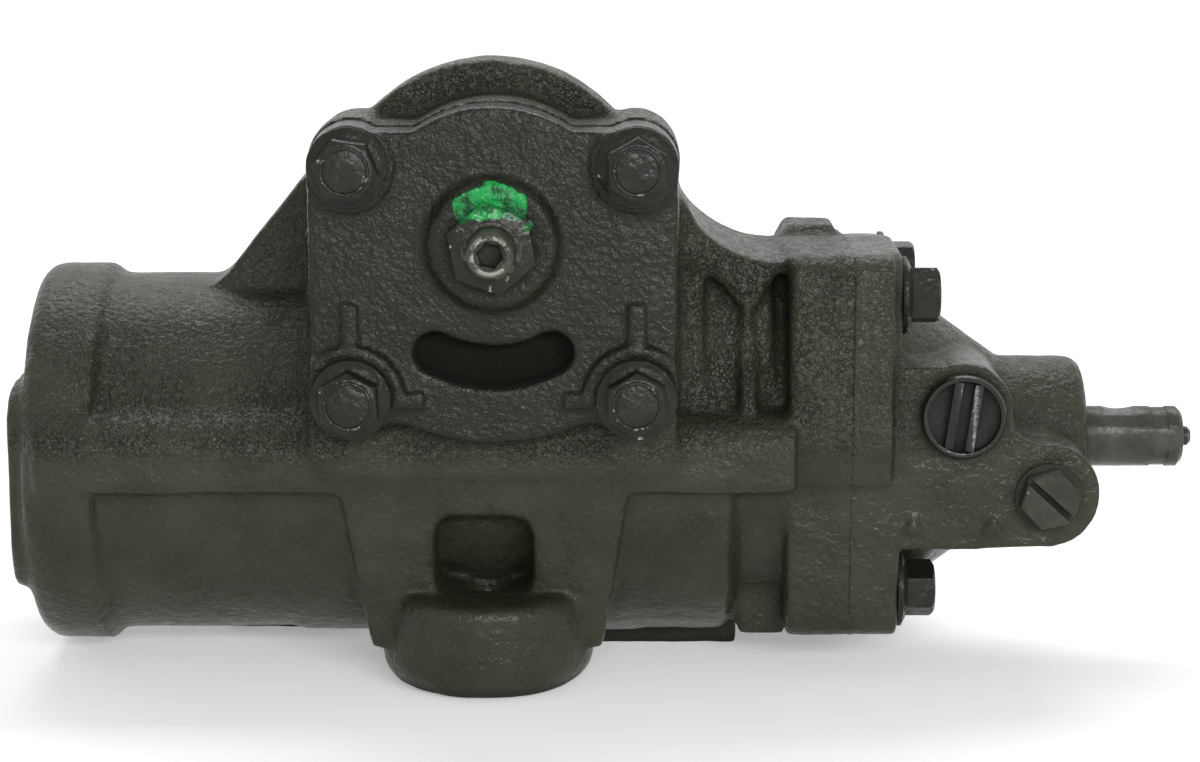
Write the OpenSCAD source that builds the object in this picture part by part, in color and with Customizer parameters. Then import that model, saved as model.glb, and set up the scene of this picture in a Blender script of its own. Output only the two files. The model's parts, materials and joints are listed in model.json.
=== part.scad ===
// Power steering gearbox: a cast housing with a rack piston, a sector shaft and a rotary valve.
// The worm axis runs along X, the sector shaft along Y, and the mounting plane is Z = 0.

/* [Gear train] */
// Height of the sector shaft axis above the worm axis
center_distance = 75; // [74:0.5:77]
// Pitch radius of the sector gear
sector_pitch_r = 40; // [38.5:0.5:41]
// Teeth on the full circle that the sector is part of
sector_full_teeth = 12; // [12:1:13]
// Pressure angle of the rack and the sector
pressure_angle = 25; // [23:0.5:27]
// Face width of the sector gear
sector_face = 54; // [48:1:56]
// Gap left on each tooth flank
flank_gap = 0.2; // [0.15:0.05:0.4]
// Axial travel of the rack for one turn of the worm
ball_lead = 14; // [13.5:0.25:15]
// Radius of the circle the recirculating balls run on
ball_circle_r = 15; // [14.5:0.25:16]
// Diameter of the recirculating balls
ball_d = 7; // [6.5:0.1:7.1]

/* [Main housing] */
// Radius of the piston bore
bore_r = 46; // [45:0.5:47]
// Outside radius of the cast cylinder
cylinder_r = 58.5; // [57.5:0.5:61]
// How far the cast cylinder sits below the worm axis
casting_drop = 4.5; // [4:0.5:6]
// Outside radius of the collar at the closed end
collar_r = 61.6; // [61:0.1:62.5]
// Length of the collar at the closed end
collar_length = 22.5; // [18:0.5:30]
// Distance from the sector axis to the closed end
closed_end = 148.5; // [146:0.5:154]
// Thickness of the wall at the closed end
end_wall = 13; // [10:0.5:15]
// Distance from the sector axis to the valve housing joint
joint_x = 111.5; // [110:0.5:116]
// Thickness of the housing flange at that joint
flange_t = 21; // [18:0.5:24]
// Reach of the joint flange beyond the side of the valve housing cone
flange_side = 0; // [0:0.5:2]
// Reach of the joint flange above and below the valve housing cone
flange_margin = 9.5; // [9:0.5:11]
// Height of the joint flange centre above the worm axis
flange_rise = 6; // [5:0.5:7]
// Radius of the bulge over the sector gear
bulge_r = 52; // [51:0.5:54]
// Radius of the rear trunnion that carries the sector shaft
trunnion_r = 35.5; // [34:0.5:38]
// Distance from the worm axis to the rear face of that trunnion
trunnion_end = 90; // [89:0.5:96]
// Distance from the worm axis to the front face of the oil gallery rib
rib_front = 64; // [62:0.5:65]

/* [Mounting] */
// Distance from the worm axis down to the mounting plane
mount_drop = 70; // [69:0.5:73]
// Sideways place of the front mounting hole from the sector axis
front_hole_x = -3.5; // [-6:0.5:1]
// Distance of the front mounting hole in front of the worm axis
front_hole_y = 42; // [41:0.5:44]
// Tapped radius of the mounting holes
mount_hole_r = 7; // [6:0.1:7.4]
// Radius of the front mounting boss at its top
front_boss_r = 33.5; // [31:0.5:35]
// Height of the front mounting boss
front_boss_h = 31; // [29:0.5:33]
// Distance of the rear mounting holes behind the worm axis
rear_hole_y = 46; // [44:0.5:50]
// Sideways place of the right rear mounting hole
right_foot_x = 54; // [50:0.5:56]
// Sideways place of the left rear mounting hole
left_foot_x = -72; // [-80:0.5:-66]
// Depth of the rear mounting holes
rear_hole_depth = 26; // [20:0.5:28]

/* [Sector cover] */
// Distance from the worm axis to the cover joint
cover_plane = 66; // [65:0.5:69]
// Thickness of the cover gasket
gasket_t = 0.8; // [0.5:0.1:1.5]
// Thickness of the cover plate
cover_t = 15; // [13:0.5:18]
// Half distance across between the cover bolts
cover_bolt_x = 43; // [42.5:0.25:45]
// Height of the upper cover bolts above the sector axis
upper_bolt_rise = 23; // [21:0.5:25]
// Drop of the lower cover bolts below the sector axis
lower_bolt_drop = 47; // [46:0.5:49]
// Radius of the cover ears round the bolts
cover_ear_r = 12.7; // [12.5:0.1:13.5]
// Radius of the arch at the top of the cover
cover_arch_r = 41; // [39:0.5:44]
// Radius of the rounded lower edge of the cover
cover_lobe_r = 61; // [60:0.5:63]
// Mean radius of the kidney pocket in the cover
kidney_r = 37.5; // [36.5:0.25:38.5]
// Width of the kidney pocket
kidney_w = 13; // [10:0.5:14]
// Half the angle the kidney pocket runs through
kidney_half = 28; // [24:1:36]
// Depth of the kidney pocket
kidney_depth = 12; // [8:0.5:13]

/* [Valve housing] */
// Thickness of the valve housing flange
valve_flange_t = 14.5; // [13:0.5:17]
// Distance of the valve housing bolts in from the sides of the joint flange
bolt_inset_y = 12; // [11:0.25:12.5]
// Distance of the valve housing bolts in from the top and bottom of the joint flange
bolt_inset_z = 14.4; // [13:0.2:15]
// How much lower the rear upper bolt sits, so that the valve housing fits one way only
odd_bolt_drop = 3; // [2:0.5:4]
// Radius of the cone where it leaves the flange
cone_r = 52; // [50:0.5:54]
// Outside radius of the snout round the input shaft
snout_r = 26.5; // [25.5:0.5:28]
// Length of the valve housing from the joint to the end of the snout
snout_length = 77.5; // [76:0.5:82]
// Distance from the worm axis to the face of the port pad
port_face = 52; // [51:0.5:55]
// Distance of the pressure port from the joint
pressure_port_x = 33.5; // [32.5:0.5:35]
// Height of the pressure port above the worm axis
pressure_port_z = 17.2; // [16:0.4:19]
// Distance of the return port from the joint
return_port_x = 60.7; // [60:0.5:63]
// Drop of the return port below the worm axis
return_port_z = 8.7; // [8:0.25:10]
// Radius of the valve bore
valve_bore_r = 24; // [23.5:0.25:25]

/* [Shafts] */
// Radius of the splined end of the input shaft
input_r = 9.9; // [9.5:0.1:10.3]
// Length of the input shaft beyond the snout
input_reach = 33.5; // [30:0.5:36]
// Front journal radius of the sector shaft
front_journal_r = 18; // [17.5:0.25:18.5]
// Rear journal radius of the sector shaft
rear_journal_r = 20; // [19.5:0.1:20.4]
// Length of the serrated taper of the sector shaft
taper_length = 30; // [26:0.5:34]
// Length of the threaded end of the sector shaft
thread_length = 22; // [18:0.5:26]
// Radius of the threaded end of the sector shaft
thread_r = 11; // [10:0.25:12]
// Serrations round the taper
serrations = 36; // [32:1:40]
// Radius of the adjuster screw
adjuster_r = 6.9; // [6.5:0.1:7.2]
// Reach of the adjuster screw beyond its boss
adjuster_reach = 22; // [18:0.5:26]

/* [Fits] */
// Radial gap of a running or press seated round fit
fit_gap = 0.05; // [0.03:0.01:0.08]
// Radial gap of the rack piston in its bore
piston_gap = 0.08; // [0.05:0.01:0.1]
// Gap between faces that pass each other
pass_gap = 0.3; // [0.3:0.05:0.5]

/* [Hidden] */
$fn = 48;
cd = center_distance;
gear_module = 2 * sector_pitch_r / sector_full_teeth;
addendum = 0.9 * gear_module;
dedendum = 1.1 * gear_module;
tooth_pitch = PI * gear_module;
rack_z = cd - sector_pitch_r;
sector_tip_r = sector_pitch_r + addendum;
sector_root_r = sector_pitch_r - dedendum;
base_r = sector_pitch_r * cos(pressure_angle);
tooth_half = tooth_pitch / 4 - flank_gap / cos(pressure_angle) / 2;
half_face = sector_face / 2;
fan_r = sector_tip_r + 2;
chamber_r = sector_root_r + 3.5;
chamber_back = half_face + 2;
rack_reach = sector_pitch_r * 40 * PI / 180;
upper_z = cd + upper_bolt_rise;
lower_z = cd - lower_bolt_drop;
cover_half_w = cover_bolt_x + cover_ear_r - 0.4;
cover_back = -cover_plane - gasket_t;
cover_front = cover_back - cover_t;
boss_front = cover_front - 4;
bolt_seat = cover_front - 1.5;
flange_x = joint_x - flange_t;
flange_half_w = cone_r + flange_side;
flange_half_h = cone_r + flange_margin;
valve_bolt_y = flange_half_w - bolt_inset_y;
valve_bolt_z = flange_half_h - bolt_inset_z;
neck_x = 75;
neck_r = bore_r + 7;
flange_low = flange_rise - flange_half_h;
flange_high = flange_rise + flange_half_h;
gallery_y = -flange_half_w + 0.5;
gallery_z = 8;
gallery_r = 3.5;
bolt_r = 5.95;
bolt_hole_r = 6;
paint = [0.17, 0.17, 0.15];
steel = [0.62, 0.63, 0.64];
dark_steel = [0.36, 0.37, 0.38];
rubber = [0.08, 0.08, 0.09];
shell_in = rear_journal_r + fit_gap + 4.3;
rear_bore_r = shell_in + 1.6;
seal_bore_r = rear_bore_r + 1;
front_bush_r = front_journal_r + 3;
piston_r = bore_r - piston_gap;
piston_left = -97;
piston_right = 50;
rack_top = rack_z + addendum;
ball_r = ball_d / 2;
groove_r = ball_r + 0.3;
worm_r = ball_circle_r - 0.7;
nut_r = ball_circle_r + 0.8;
thread_left = -50;
thread_right = 44;
circuit_left = thread_left + ball_lead * 2.25;
circuit_right = circuit_left + 2 * ball_lead;
pocket_r = 33;
race_left = joint_x - 3.5;
race_right = joint_x + 8;
race_ball_r = 4;
race_circle_r = 25.2;
head_r = 17.5;
spool_r = 13;
sleeve_r = valve_bore_r - 0.4;
sleeve_left = joint_x + 9;
sleeve_right = joint_x + 46;
snout_end = joint_x + snout_length;
needle_r = 1.25;
journal_r = input_r + 0.4;
input_shell_in = journal_r + 2 * needle_r + 2 * fit_gap;
input_bearing_r = input_shell_in + 1.6;
input_seal_r = input_bearing_r + 2;
bearing_left = joint_x + 50;
bearing_right = joint_x + 62;
seal_left = joint_x + 63;
input_end = snout_end + input_reach;
bar_r = 3.1;

function arc_points(c, r, a0, a1, n) =
    [for (i = [0:n]) [c[0] + r * cos(a0 + (a1 - a0) * i / n), c[1] + r * sin(a0 + (a1 - a0) * i / n)]];

function round_rect(x0, y0, x1, y1, r, n = 8) = concat(
    arc_points([x1 - r, y1 - r], r, 0, 90, n),
    arc_points([x0 + r, y1 - r], r, 90, 180, n),
    arc_points([x0 + r, y0 + r], r, 180, 270, n),
    arc_points([x1 - r, y0 + r], r, 270, 360, n));

function involute_angle(r) = tan(acos(base_r / r)) * 180 / PI - acos(base_r / r);

// Half the angle of a sector tooth at a radius
function tooth_angle(r) = tooth_half / sector_pitch_r * 180 / PI
    + involute_angle(sector_pitch_r) - involute_angle(max(r, base_r + 0.001));

// Angle and radius of a point on the sector, measured from straight down
function hang(r, a) = [r * sin(a), -r * cos(a)];

module seat() {
    translate([-front_hole_x, front_hole_y, mount_drop]) children();
}

module x_rod(x0, x1, r, y = 0, z = 0) {
    translate([x0, y, z]) rotate([0, 90, 0]) cylinder(h = x1 - x0, r = r);
}

module y_rod(y0, y1, r, x = 0, z = 0) {
    translate([x, y0, z]) rotate([-90, 0, 0]) cylinder(h = y1 - y0, r = r);
}

module z_rod(z0, z1, r, x = 0, y = 0) {
    translate([x, y, z0]) cylinder(h = z1 - z0, r = r);
}

// A plate whose outline is drawn in X and Z, running forward from y_back
module front_plate(y_back, t) {
    translate([0, y_back, 0]) rotate([90, 0, 0]) linear_extrude(t) children();
}

// A plate whose outline is drawn in Y and Z, running along X from x0
module side_plate(x0, t) {
    translate([x0, 0, 0]) rotate([90, 0, 90]) linear_extrude(t) children();
}

// A solid of revolution about X, drawn as radius and X
module x_turned() {
    rotate([0, 90, 0]) rotate_extrude() children();
}

// A solid of revolution about Y, drawn as radius and Y
module y_turned() {
    rotate([-90, 0, 0]) rotate_extrude() children();
}

module cover_bolt_places() {
    for (sx = [-1, 1])
        for (z = [lower_z, upper_z])
            translate([sx * cover_bolt_x, 0, z]) children();
}

function valve_bolt_height(sy, sz) =
    flange_rise + sz * valve_bolt_z - (sy > 0 && sz > 0 ? odd_bolt_drop : 0);

module valve_bolt_places() {
    for (sy = [-1, 1])
        for (sz = [-1, 1])
            translate([0, sy * valve_bolt_y, valve_bolt_height(sy, sz)]) children();
}

// Opening the sector gear goes in through
module fan_outline(grow = 0) {
    translate([0, cd]) circle(r = chamber_r + grow);
    intersection() {
        translate([0, cd]) circle(r = fan_r + grow);
        translate([-fan_r - 2, cd - fan_r - 2]) square([2 * fan_r + 4, fan_r + 2 + grow]);
    }
}

module cover_outline(grow = 0) {
    translate([-cover_half_w - grow, lower_z])
        square([2 * (cover_half_w + grow), upper_z - lower_z]);
    translate([-cover_bolt_x, lower_z - 8])
        square([2 * cover_bolt_x, upper_z - lower_z + 18.5 + grow]);
    for (sx = [-1, 1])
        for (z = [lower_z, upper_z])
            translate([sx * cover_bolt_x, z]) circle(r = cover_ear_r + grow);
    translate([0, cd]) circle(r = cover_arch_r + grow);
    intersection() {
        translate([0, cd]) circle(r = cover_lobe_r + grow);
        translate([-32, cd - cover_lobe_r - 5]) square([64, cover_lobe_r]);
    }
}

// The joint flange, whose top falls away towards the rear
module joint_outline() {
    polygon(concat(
        arc_points([flange_half_w - 8, flange_high - 14.5], 8, 0, 80, 6),
        [[-8, flange_high]],
        arc_points([-flange_half_w + 8, flange_high - 8], 8, 90, 180, 6),
        arc_points([-flange_half_w + 8, flange_low + 8], 8, 180, 270, 6),
        arc_points([flange_half_w - 8, flange_low + 8], 8, 270, 360, 6)));
}

// The joint outline with the swelling that carries the oil gallery
module gallery_flange_outline() {
    joint_outline();
    polygon(concat([[-20, -7], [-flange_half_w + 2, -7], [-flange_half_w - 2, -5], [-flange_half_w - 6, 7],
        [-flange_half_w - 6.5, 11]], arc_points([-flange_half_w + 1.5, flange_high - 8], 8, 180, 90, 6),
        [[-20, flange_high - 0.2]]));
}

// A hexagon flange bolt with its seat at Z = 0 and its shank below
module flange_bolt(length, across, head_h, flange_r, flange_h) {
    z_rod(-length, 0.01, bolt_r);
    rotate_extrude()
        polygon([[0, 0], [flange_r, 0], [flange_r, flange_h * 0.6], [across * 0.56, flange_h + 0.6],
            [0, flange_h + 0.6]]);
    intersection() {
        translate([0, 0, flange_h]) cylinder(h = head_h, r = across / 2 / cos(30), $fn = 6);
        translate([0, 0, flange_h]) rotate_extrude()
            polygon([[0, 0], [across, 0], [across * 0.6, head_h - 1.4], [across * 0.47, head_h], [0, head_h]]);
    }
}

// A lip seal turned about X: a case with a lip that rides the shaft
module seal_section(inner, outer, x0, x1) {
    polygon([[outer, x0], [outer, x1], [inner + 1.6, x1], [inner, x1 - 1.2], [inner, x1 - 2.2],
        [inner + 1.4, x1 - 3], [outer - 1.6, x1 - 3.2], [outer - 1.6, x0]]);
}

// Section of the oil gallery rib, reaching in to y_in
module rib_outline(y_in) {
    polygon(concat([[y_in, 18]], arc_points([-rib_front + 11, 7], 11, 90, 180, 8),
        arc_points([-rib_front + 3, -3], 3, 180, 270, 4), [[y_in, -6]]));
}

// Outline of the tower over the sector gear, as deep as its bulge goes
module tower_outline(bulge_x, r) {
    polygon(concat([[-59, 36], [-59, cd - 5], [-56, cd + 14]], arc_points([bulge_x, cd], r, 150, 30, 20),
        [[56, cd + 14], [62, cd - 8], [63.5, 36]]));
}

function web_curve() = concat([[48, cd + 19]],
    arc_points([flange_x - 1.5, flange_high + 34.8], 38, 196, 270, 14), [[flange_x + 1, flange_high - 3.2]]);

module housing_body() {
    translate([0, 0, -casting_drop]) x_turned() polygon(concat(
        [[0, -closed_end], [collar_r - 9, -closed_end]],
        arc_points([collar_r - 5.5, -closed_end + 5.5], 5.5, 270, 360, 6),
        [[collar_r, -closed_end + collar_length - 1], [cylinder_r, -closed_end + collar_length + 2],
            [cylinder_r - 0.6, -68], [cylinder_r + 0.5, -65], [cylinder_r + 0.5, 44], [cylinder_r, 47],
            [cylinder_r, neck_x - 3], [cylinder_r - 5, neck_x], [0, neck_x]]));
    x_rod(neck_x - 5, flange_x + 1, neck_r);
    side_plate(-closed_end - 4.5, 12) intersection() {
        polygon(round_rect(-54, -40, -6, 26, 14));
        translate([0, -casting_drop]) circle(r = collar_r - 3.2);
    }
    front_plate(38, 84) tower_outline(0, bulge_r - 6);
    front_plate(-25, 21) tower_outline(-1.6, bulge_r);
    front_plate(18, 34) polygon([[-94.5, 36], [-94.5, 51.5], [-89.5, 54.5], [-85.5, 59], [-63.5, cd + 11.5],
        [-45, cd + 26], [-44, 36]]);
    front_plate(18, 30) polygon(concat([[48, 36]], web_curve(), [[flange_x + 1, 36]]));
    front_plate(-11, 22) polygon(concat([[48, 63]], web_curve(), [[flange_x + 1, flange_high - 5],
        [flange_x - 6, flange_high - 6], [79.5, 46], [72, 55], [60, 61.5]]));
    front_plate(-34, cover_plane - 34) union() {
        cover_outline(0.8);
        polygon(round_rect(-cover_half_w - 2.4, 0, cover_half_w + 0.6, cd + 8, 9));
    }
    y_rod(30, trunnion_end, trunnion_r, z = cd);
    translate([0, 37, cd]) rotate([-90, 0, 0]) cylinder(h = 20, r1 = bulge_r - 8, r2 = trunnion_r);
    side_plate(-5, 10) polygon([[20, 20], [20, cd - 20], [trunnion_end - 4, cd - 20],
        [trunnion_end - 4, cd - trunnion_r - 3], [52, 22]]);
    side_plate(flange_x, flange_t) gallery_flange_outline();
    side_plate(-closed_end + 6, closed_end + flange_x - 4) rib_outline(-36);
    intersection() {
        translate([0, 0, -6]) linear_extrude(24) polygon([[-closed_end - 4.5, -6],
            [-closed_end - 4.5, -47], [-closed_end + 6, -rib_front], [-closed_end + 9, -rib_front],
            [-closed_end + 9, -6]]);
        side_plate(-closed_end - 8, 40) rib_outline(10);
    }
    side_plate(neck_x + 0.5, 5)
        polygon([[-30, 4], [-58, 4], [-55, 24], [-45, 45], [-24, 58], [-18, 58], [-18, 4]]);
}

module front_boss() {
    hull() {
        translate([front_hole_x - 44.5, -63, -8]) cube([88, 40, 3]);
        translate([front_hole_x - 36.5, -56, -57]) cube([73, 40, 3]);
    }
    translate([front_hole_x, -front_hole_y, -mount_drop]) rotate_extrude() polygon(concat(
        [[0, 0], [front_boss_r - 10, 0]], arc_points([front_boss_r - 10, 10], 10, 270, 360, 8),
        [[front_boss_r - 0.3, front_boss_h - 3], [front_boss_r - 3, front_boss_h], [0, front_boss_h]]));
}

module foot(x, front) {
    translate([0, 0, -mount_drop]) linear_extrude(mount_drop - 30)
        polygon(concat(arc_points([x, rear_hole_y], 23, 0, 180, 12), [[x - 23, front], [x + 23, front]]));
}

module housing_details() {
    foot(right_foot_x, -2);
    foot(left_foot_x, 18);
    translate([neck_x + 1, -30, flange_low - 3.7]) cube([flange_x - neck_x, 58, 24]);
    hull() {
        translate([flange_x - 0.5, 1, flange_high - 7]) cube([flange_t, 32, 2]);
        translate([flange_x + 2.5, 5, flange_high - 7]) cube([flange_t - 5.5, 22, 8.7]);
    }
}

module housing_cavities() {
    x_rod(-closed_end + end_wall, joint_x + 1, bore_r);
    front_plate(chamber_back, chamber_back + cover_plane + 1) fan_outline();
    y_rod(chamber_back - 1, half_face + 8.5, rear_journal_r + 1.5, z = cd);
    y_rod(half_face + 8, half_face + 39.5, rear_bore_r, z = cd);
    y_rod(half_face + 39, trunnion_end + 1, seal_bore_r, z = cd);
    y_rod(half_face + 57, half_face + 59, seal_bore_r + 1.6, z = cd);
    cover_bolt_places() y_rod(-cover_plane - 1, -cover_plane + 20, bolt_hole_r);
    valve_bolt_places() x_rod(joint_x - 19.5, joint_x + 1, bolt_hole_r);
    z_rod(-mount_drop - 1, -mount_drop + front_boss_h, mount_hole_r, front_hole_x, -front_hole_y);
    translate([front_hole_x, -front_hole_y, -mount_drop + front_boss_h - 2])
        cylinder(h = 1.6, r1 = mount_hole_r, r2 = mount_hole_r + 1.6);
    for (x = [right_foot_x, left_foot_x])
        z_rod(-mount_drop - 1, -mount_drop + rear_hole_depth, mount_hole_r, x, rear_hole_y);
    difference() {
        front_plate(-20, 60)
            polygon(round_rect(front_hole_x - 16, -mount_drop + front_boss_h - 0.5,
                front_hole_x + 14.5, -13.5, 6));
        x_rod(-60, 60, bore_r + 6);
    }
    x_rod(-closed_end + end_wall + 5, joint_x + 1, gallery_r, gallery_y, gallery_z);
    y_rod(gallery_y - gallery_r, -36, 3, -closed_end + end_wall + 7, gallery_z);
}

module main_housing() {
    color(paint) difference() {
        union() {
            housing_body();
            front_boss();
            housing_details();
        }
        housing_cavities();
    }
}

module kidney(grow = 0) {
    w = kidney_w / 2 + grow;
    translate([0, cd]) polygon(concat(
        [for (i = [0:16]) hang(kidney_r + w, kidney_half * (i / 8 - 1))],
        [for (i = [1:7]) let(a = kidney_half + i * 22.5) hang(kidney_r, kidney_half) + w * [sin(a), -cos(a)]],
        [for (i = [0:16]) hang(kidney_r - w, kidney_half * (1 - i / 8))],
        [for (i = [1:7]) let(a = i * 22.5 - 180 - kidney_half)
            hang(kidney_r, -kidney_half) + w * [sin(a), -cos(a)]]));
}

module sector_cover() {
    color(paint) difference() {
        union() {
            front_plate(cover_back, cover_t) cover_outline();
            front_plate(cover_back + 9, 10) fan_outline(-pass_gap);
            y_rod(cover_back, cover_back + 16, front_bush_r + 7, z = cd);
            translate([0, cover_front + 0.5, cd]) rotate([90, 0, 0])
                cylinder(h = cover_front - boss_front + 0.5, r1 = 21.5, r2 = 18.3);
            intersection() {
                cover_bolt_places() y_rod(bolt_seat, cover_front + 1, cover_ear_r + 1);
                front_plate(cover_back, cover_t + 4) cover_outline();
            }
            intersection() {
                for (sx = [-1, 1])
                    translate([sx * cover_bolt_x, 0, lower_z]) difference() {
                        y_rod(cover_front - 2.8, cover_front + 1, 16.4);
                        y_rod(cover_front - 4, cover_front + 2, 12.7);
                    }
                front_plate(cover_back, cover_t + 4) difference() {
                    cover_outline();
                    translate([-80, lower_z - 40]) square([160, 38]);
                }
            }
            for (sx = [-1, 1]) {
                translate([sx * cover_bolt_x - 2.5, cover_front - 1.8, lower_z + 12.8]) cube([5, 4, 16]);
                translate([sx * (cover_bolt_x - 17.4) - 4.6, cover_front - 1.8, lower_z - 3])
                    cube([9.2, 4, 5]);
            }
        }
        front_plate(cover_front + kidney_depth, kidney_depth + 3) kidney();
        y_rod(boss_front - 1, cover_front + 10, adjuster_r + fit_gap, z = cd);
        y_rod(cover_front + 4, cover_back + 17, front_bush_r + fit_gap, z = cd);
        cover_bolt_places() y_rod(bolt_seat - 1, cover_back + 1, bolt_hole_r + 0.6);
    }
}

module cover_gasket() {
    color(rubber) front_plate(-cover_plane, gasket_t) difference() {
        cover_outline();
        fan_outline(0.3);
        for (sx = [-1, 1])
            for (z = [lower_z, upper_z])
                translate([sx * cover_bolt_x, z]) circle(r = bolt_hole_r + 0.6);
    }
}

module cover_bolt(x, z, turn) {
    translate([x, bolt_seat, z]) rotate([90, turn, 0]) flange_bolt(bolt_seat_depth(), 17, 8.5, 12.1, 2.4);
}

module cover_bolts() {
    color(dark_steel) {
        cover_bolt(-cover_bolt_x, upper_z, 8);
        cover_bolt(cover_bolt_x, upper_z, 31);
        cover_bolt(-cover_bolt_x, lower_z, 27);
        cover_bolt(cover_bolt_x, lower_z, 30);
    }
}

// Length of a cover bolt below its seat
function bolt_seat_depth() = cover_t + gasket_t + 1.5 + 17;

module cover_bush() {
    color([0.66, 0.5, 0.27]) difference() {
        y_rod(cover_front + 7, cover_back + 15.5, front_bush_r, z = cd);
        y_rod(cover_front + 6, cover_back + 17, front_journal_r + fit_gap, z = cd);
    }
}

module adjuster_screw() {
    tip = boss_front - adjuster_reach;
    head = cover_front + 13.4;
    color(steel) difference() {
        union() {
            translate([0, 0, cd]) y_turned() polygon([[0, tip], [adjuster_r - 1.3, tip],
                [adjuster_r, tip + 1.3], [adjuster_r, head], [11.6, head], [11.6, head + 6], [0, head + 6]]);
        }
        translate([0, tip + 7, cd]) rotate([90, 12, 0]) cylinder(h = 8, r = 3.6 / cos(30), $fn = 6);
        translate([0, tip + 1, cd]) rotate([90, 0, 0]) cylinder(h = 1.2, r1 = 3.9, r2 = 5.1);
    }
}

module adjuster_lock_nut() {
    color(dark_steel) translate([0, boss_front, cd]) rotate([90, 19, 0]) difference() {
        union() {
            intersection() {
                cylinder(h = 8, r = 12 / cos(30), $fn = 6);
                rotate_extrude() polygon([[0, 0], [12.6, 0], [14.2, 1], [14.2, 6.8], [12, 8], [0, 8]]);
            }
            cylinder(h = 10, r = 8.3);
        }
        translate([0, 0, -1]) cylinder(h = 12, r = adjuster_r + fit_gap);
    }
}

module port_pad_outline() {
    px = joint_x + pressure_port_x;
    rx = joint_x + return_port_x;
    union() {
        translate([px, pressure_port_z]) circle(r = 16);
        translate([rx, -return_port_z]) circle(r = 16.6);
        polygon(round_rect(joint_x + 12, -return_port_z - 17.6, px + 10, pressure_port_z + 15.2, 5));
        polygon([[px - 4, -return_port_z - 17.6], [rx, -return_port_z - 16.4], [rx + 6, -return_port_z],
            [rx - 2, -return_port_z + 16.3], [rx - 7, -return_port_z + 17.8],
            [px + 17, pressure_port_z - 5.7], [px + 15.8, pressure_port_z - 2], [px - 4, pressure_port_z + 8]]);
    }
}

module valve_housing() {
    px = joint_x + pressure_port_x;
    rx = joint_x + return_port_x;
    valve_x = joint_x + valve_flange_t;
    color(paint) difference() {
        union() {
            side_plate(joint_x, valve_flange_t) joint_outline();
            side_plate(joint_x, valve_flange_t - 3) gallery_flange_outline();
            x_rod(joint_x - 8, joint_x + 1, bore_r - fit_gap);
            difference() {
                x_turned() polygon(concat(
                    [[0, joint_x + 1], [cone_r, joint_x + 1], [cone_r, valve_x], [snout_r, valve_x + 36]],
                    arc_points([snout_r - 5, snout_end - 5], 5, 0, 90, 6), [[0, snout_end]]));
                valve_bolt_places() x_rod(valve_x, valve_x + 40, 13.4);
            }
            front_plate(0, port_face) port_pad_outline();
            for (x = [px - 14.8, px + 10.2])
                translate([x, -port_face + 1, -return_port_z - 10]) rotate([90, 30, 0])
                    cylinder(h = 2.6, r1 = 4.8, r2 = 3.6, $fn = 3);
        }
        valve_bolt_places() x_rod(joint_x - 1, valve_x + 1, bolt_hole_r + 0.6);
        x_rod(joint_x - 9, race_right, pocket_r);
        x_rod(race_right - 1, joint_x + 46.5, valve_bore_r);
        x_rod(joint_x + 45, bearing_left + 1, journal_r + 1.4);
        x_rod(bearing_left, seal_left + 0.5, input_bearing_r + fit_gap);
        x_rod(seal_left, snout_end + 1, input_seal_r + fit_gap);
        x_rod(seal_left + 7.6, seal_left + 9.4, input_seal_r + 1.6);
        x_turned() polygon([[bore_r - 3.4, joint_x - 5.8], [bore_r + 1, joint_x - 5.8],
            [bore_r + 1, joint_x - 2.2], [bore_r - 3.4, joint_x - 2.2]]);
        y_rod(-port_face - 1, -port_face + 16, 9, px, pressure_port_z);
        y_rod(-port_face + 15, -10, 3.5, px, pressure_port_z);
        y_rod(-port_face - 1, -port_face + 17, 7.5, rx, -return_port_z);
        translate([rx, -port_face + 15, -return_port_z]) rotate([0, 0, 52]) rotate([-90, 0, 0])
            cylinder(h = 38, r = 3);
        x_rod(joint_x - 1, joint_x + 10.5, gallery_r, gallery_y, gallery_z);
        y_rod(gallery_y, -10, 3, joint_x + 10.5, gallery_z);
    }
}

module valve_housing_seal() {
    color(rubber) translate([0, 0, 0]) rotate([0, 90, 0]) translate([0, 0, joint_x - 4])
        rotate_extrude() translate([bore_r - 1.7, 0]) circle(r = 1.62, $fn = 32);
}

module valve_housing_bolts() {
    color(dark_steel) for (sy = [-1, 1])
        for (sz = [-1, 1])
            translate([joint_x + valve_flange_t, sy * valve_bolt_y, valve_bolt_height(sy, sz)])
                rotate([0, 90, 0]) rotate([0, 0, 17 + 11 * sy + 7 * sz])
                    flange_bolt(valve_flange_t + 18, 16, 9.5, 12.2, 2.6);
}

module pressure_port_cap() {
    px = joint_x + pressure_port_x;
    color([0.1, 0.1, 0.1]) translate([px, -port_face, pressure_port_z]) rotate([90, 0, 0]) {
        difference() {
            union() {
                translate([0, 0, -8]) cylinder(h = 8.5, r = 8.9);
                rotate_extrude() polygon([[0, 0], [12.8, 0], [13.1, 0.8], [13.1, 4], [12.6, 4.8], [0, 4.8]]);
            }
            translate([0, 0, 1.2]) cylinder(h = 5, r = 11.4);
        }
        rotate([0, 0, -8]) for (sx = [-1, 1])
            translate([sx * 3.2 - 1.3, -10.6, 0.6]) cube([2.6, 21.2, 3.6]);
    }
}

module return_port_plug() {
    rx = joint_x + return_port_x;
    color(dark_steel) translate([rx, -port_face, -return_port_z]) rotate([90, 0, 0]) difference() {
        union() {
            translate([0, 0, -8]) cylinder(h = 8.5, r = 7.4);
            cylinder(h = 1.2, r = 10.4);
            intersection() {
                rotate([0, 0, 14]) cylinder(h = 7.5, r = 8.4 / cos(30), $fn = 6);
                rotate_extrude() polygon([[0, 0], [10, 0], [10, 6.2], [8, 7.5], [0, 7.5]]);
            }
        }
        translate([0, 0, 6.7]) rotate([0, 0, -42]) cube([30, 2, 3.6], center = true);
    }
}

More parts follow.
